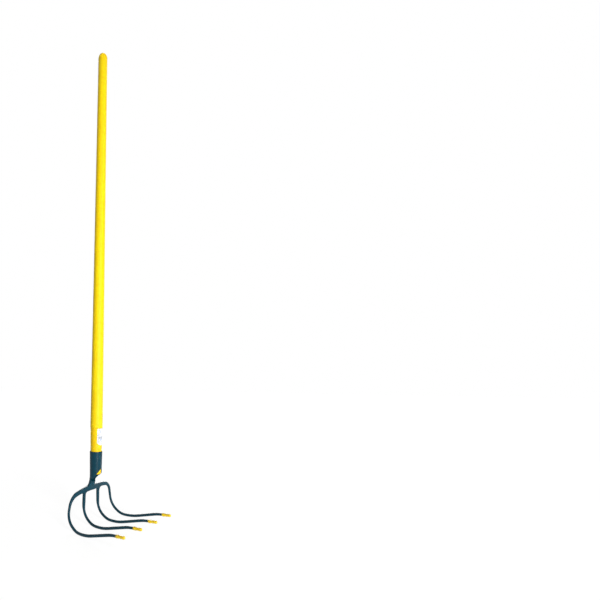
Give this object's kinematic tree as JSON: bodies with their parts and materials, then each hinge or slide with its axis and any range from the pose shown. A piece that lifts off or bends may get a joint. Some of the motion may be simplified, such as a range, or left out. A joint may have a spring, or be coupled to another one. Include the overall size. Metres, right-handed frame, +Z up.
{
  "type": "claw cultivator",
  "caption": "Long-handled claw cultivator: forged head with socket, yoke and curved tines, plastic-covered handle, push-on tip guards and a curved label.",
  "frame": {"origin": "on the handle's axis at the middle of its visible length, where a hand holds it", "axes": "+Z up along the handle away from the tines, +X the way the tine points face, +Y from the first tine towards the last"},
  "size_m": [0.2156, 0.2128, 1.6927],
  "materials": {
    "forging_paint": "glossy deep teal paint",
    "handle_wood": "plain turned wood",
    "fibre_resin": "glass fibre in resin",
    "handle_plastic": "satin bright yellow plastic",
    "guard_plastic": "smooth bright yellow plastic",
    "label_paper": "smooth white paper with plain rules and dots"
  },
  "bodies": {
    "tool": {"claw_forging": "forging_paint", "socket_seam_weld": "forging_paint", "socket_fixing_nail": "forging_paint", "handle_core": "handle_wood", "handle_fibre_layer": "fibre_resin", "handle_sheath": "handle_plastic", "handle_lower_sleeve": "handle_plastic", "handle_end_sleeve": "handle_plastic", "handle_label": "label_paper"},
    "guard_1": {"tip_cap_1": "guard_plastic"},
    "guard_2": {"tip_cap_2": "guard_plastic"},
    "guard_3": {"tip_cap_3": "guard_plastic"},
    "guard_4": {"tip_cap_4": "guard_plastic"}
  },
  "joints": [
    {"name": "guard_1_pull", "type": "slide", "parent": "tool", "child": "guard_1", "axis": [0.994, -0.0326, 0.1045], "range_m": [0, 0.03]},
    {"name": "guard_2_pull", "type": "slide", "parent": "tool", "child": "guard_2", "axis": [0.9943, -0.0226, 0.1045], "range_m": [0, 0.03]},
    {"name": "guard_3_pull", "type": "slide", "parent": "tool", "child": "guard_3", "axis": [0.9943, 0.0226, 0.1045], "range_m": [0, 0.03]},
    {"name": "guard_4_pull", "type": "slide", "parent": "tool", "child": "guard_4", "axis": [0.994, 0.0326, 0.1045], "range_m": [0, 0.03]}
  ]
}
